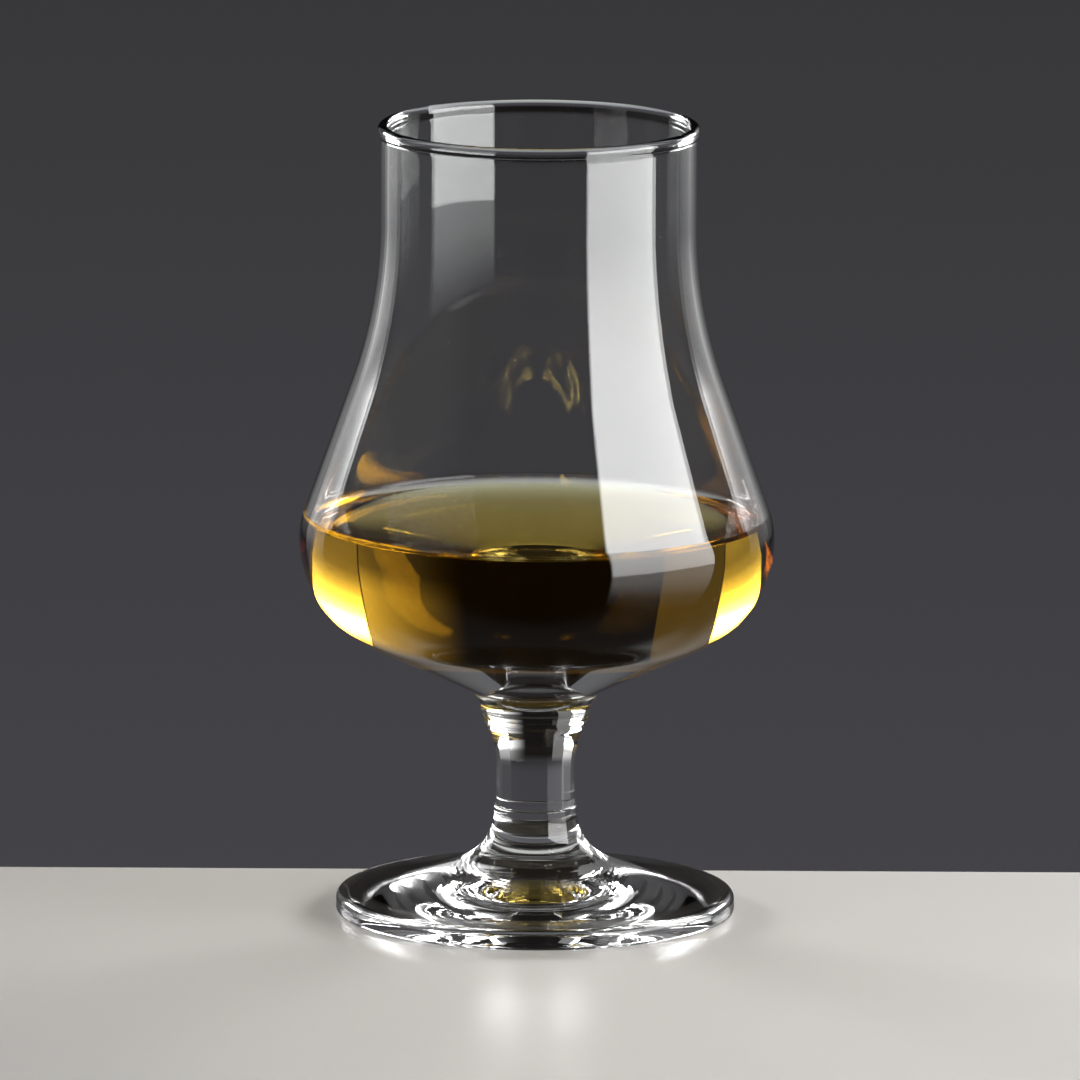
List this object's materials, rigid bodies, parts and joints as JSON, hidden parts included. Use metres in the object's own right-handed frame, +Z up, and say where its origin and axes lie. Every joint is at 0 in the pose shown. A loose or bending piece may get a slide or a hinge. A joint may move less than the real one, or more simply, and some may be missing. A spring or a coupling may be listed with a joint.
{
  "type": "whisky nosing glass",
  "caption": "Stemmed tulip nosing glass with an upright neck, a short solid stem and a round foot, holding a measure of whisky up to its shoulder.",
  "frame": {"origin": "centre of the flat ring that the foot stands on, on the table", "axes": "+Z up along the axis of the glass, towards the mouth; the picture looks along +Y, slightly down, with +X to its right"},
  "size_m": [0.0714, 0.0714, 0.1199],
  "materials": {
    "bowl_glass": "clear colourless blown glass, fire polished at the rim",
    "stem_glass": "clear colourless drawn glass, solid",
    "foot_glass": "clear colourless pressed glass, faint tool rings at the root, fine wear on the resting ring",
    "whisky_liquid": "clear golden amber liquid with a still surface and a raised edge"
  },
  "bodies": {
    "root": {"bowl": "bowl_glass", "stem": "stem_glass", "foot": "foot_glass", "whisky": "whisky_liquid"}
  },
  "joints": []
}
